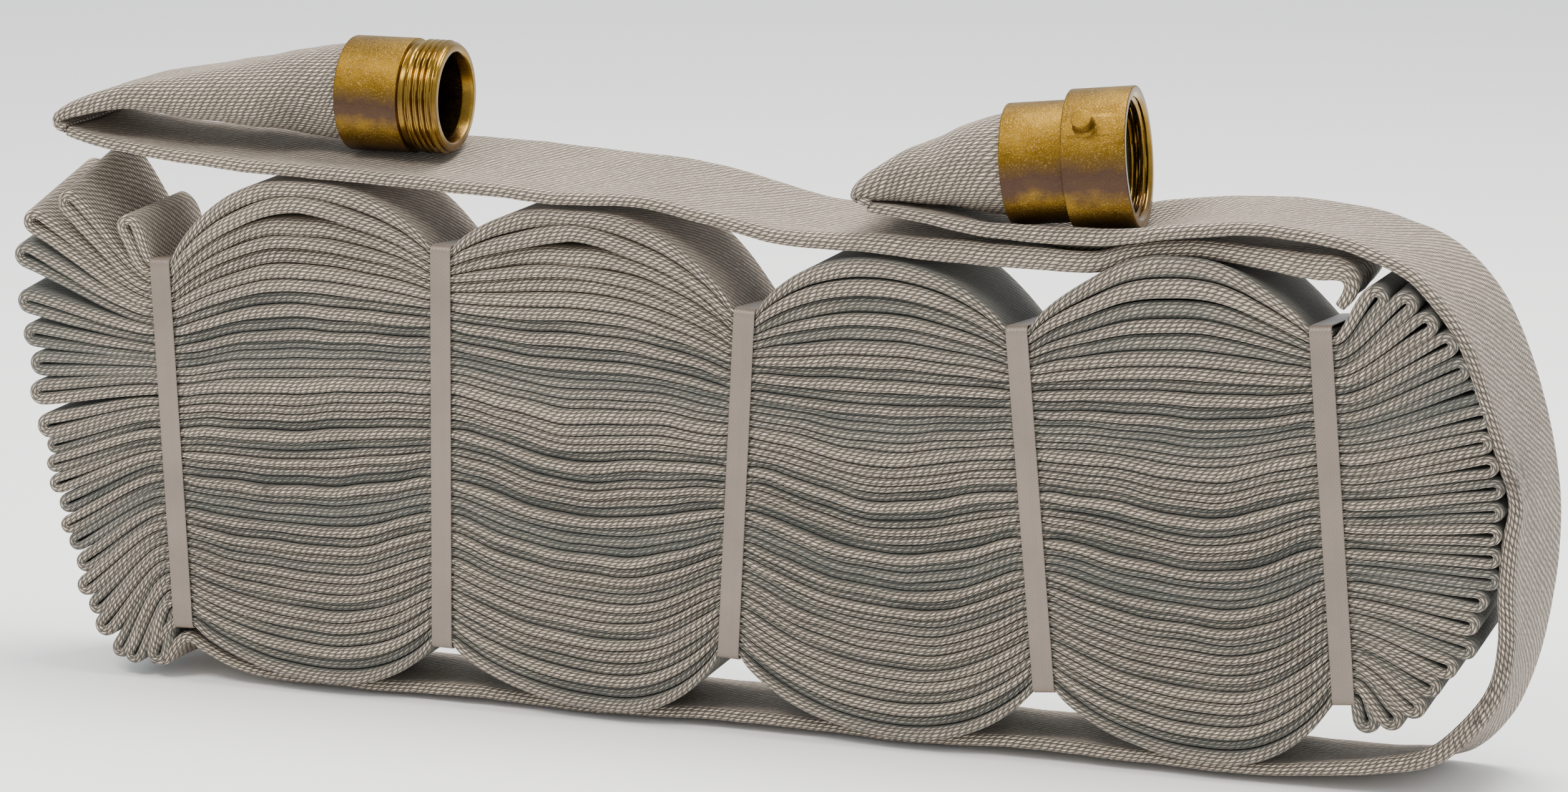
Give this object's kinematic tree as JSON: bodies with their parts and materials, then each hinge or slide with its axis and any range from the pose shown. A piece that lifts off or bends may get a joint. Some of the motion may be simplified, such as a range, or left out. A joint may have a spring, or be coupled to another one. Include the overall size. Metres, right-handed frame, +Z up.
{
  "type": "rack fire hose",
  "caption": "Lay-flat fire hose folded back and forth into a strapped rack bundle, with a threaded male coupling and a swivelling female coupling on its loose ends.",
  "frame": {"origin": "on the ground at the flat underside of the bundle, half way across the hose's width and about half way along the bundle", "axes": "+X along the bundle, the way both couplings' mouths point; +Y across the hose's width, to the back; +Z up"},
  "size_m": [0.6851, 0.0706, 0.2964],
  "materials": {
    "jacket": "woven, unbleached",
    "liner": "smooth",
    "strap": "smooth, half gloss",
    "brass": "sand cast and turned",
    "ring": "drawn",
    "rubber": "moulded",
    "steel": "ground"
  },
  "bodies": {
    "bale": {"hose_folded_stack": "jacket", "hose_wrap_run": "jacket", "hose_top_run": "jacket", "strap_1": "strap", "strap_2": "strap", "strap_3": "strap", "strap_4": "strap", "strap_5": "strap"},
    "male_end": {"hose_male_end": "jacket", "liner_male_end": "liner", "male_coupling_body": "brass", "male_expansion_ring": "ring", "male_tail_gasket": "rubber"},
    "female_end": {"hose_female_end": "jacket", "liner_female_end": "liner", "female_tailpiece": "brass", "female_expansion_ring": "ring", "female_tail_gasket": "rubber", "swivel_ball_01": "steel", "swivel_ball_02": "steel", "swivel_ball_03": "steel", "swivel_ball_04": "steel", "swivel_ball_05": "steel", "swivel_ball_06": "steel", "swivel_ball_07": "steel", "swivel_ball_08": "steel", "swivel_ball_09": "steel", "swivel_ball_10": "steel", "swivel_ball_11": "steel", "swivel_ball_12": "steel", "swivel_ball_13": "steel", "swivel_ball_14": "steel", "swivel_ball_15": "steel", "swivel_ball_16": "steel", "swivel_ball_17": "steel", "swivel_ball_18": "steel", "swivel_ball_19": "steel", "swivel_ball_20": "steel", "swivel_ball_21": "steel", "swivel_ball_22": "steel", "swivel_ball_23": "steel", "swivel_ball_24": "steel"},
    "female_swivel": {"female_swivel": "brass", "swivel_gasket": "rubber", "race_plug": "brass"}
  },
  "joints": [
    {"name": "male_end_fold", "type": "hinge", "parent": "bale", "child": "male_end", "pos_m": [-0.331, 0, 0.2545], "axis": [0, -1, 0], "range_deg": [0, 170]},
    {"name": "female_end_fold", "type": "hinge", "parent": "bale", "child": "female_end", "pos_m": [0.0455, 0, 0.24135], "axis": [0, -1, 0], "range_deg": [0, 120]},
    {"name": "female_swivel_spin", "type": "hinge", "parent": "female_end", "child": "female_swivel", "pos_m": [0.14424, -0.00475, 0.25999], "axis": [0.9936, 0.0572, 0.0973], "continuous": true}
  ]
}
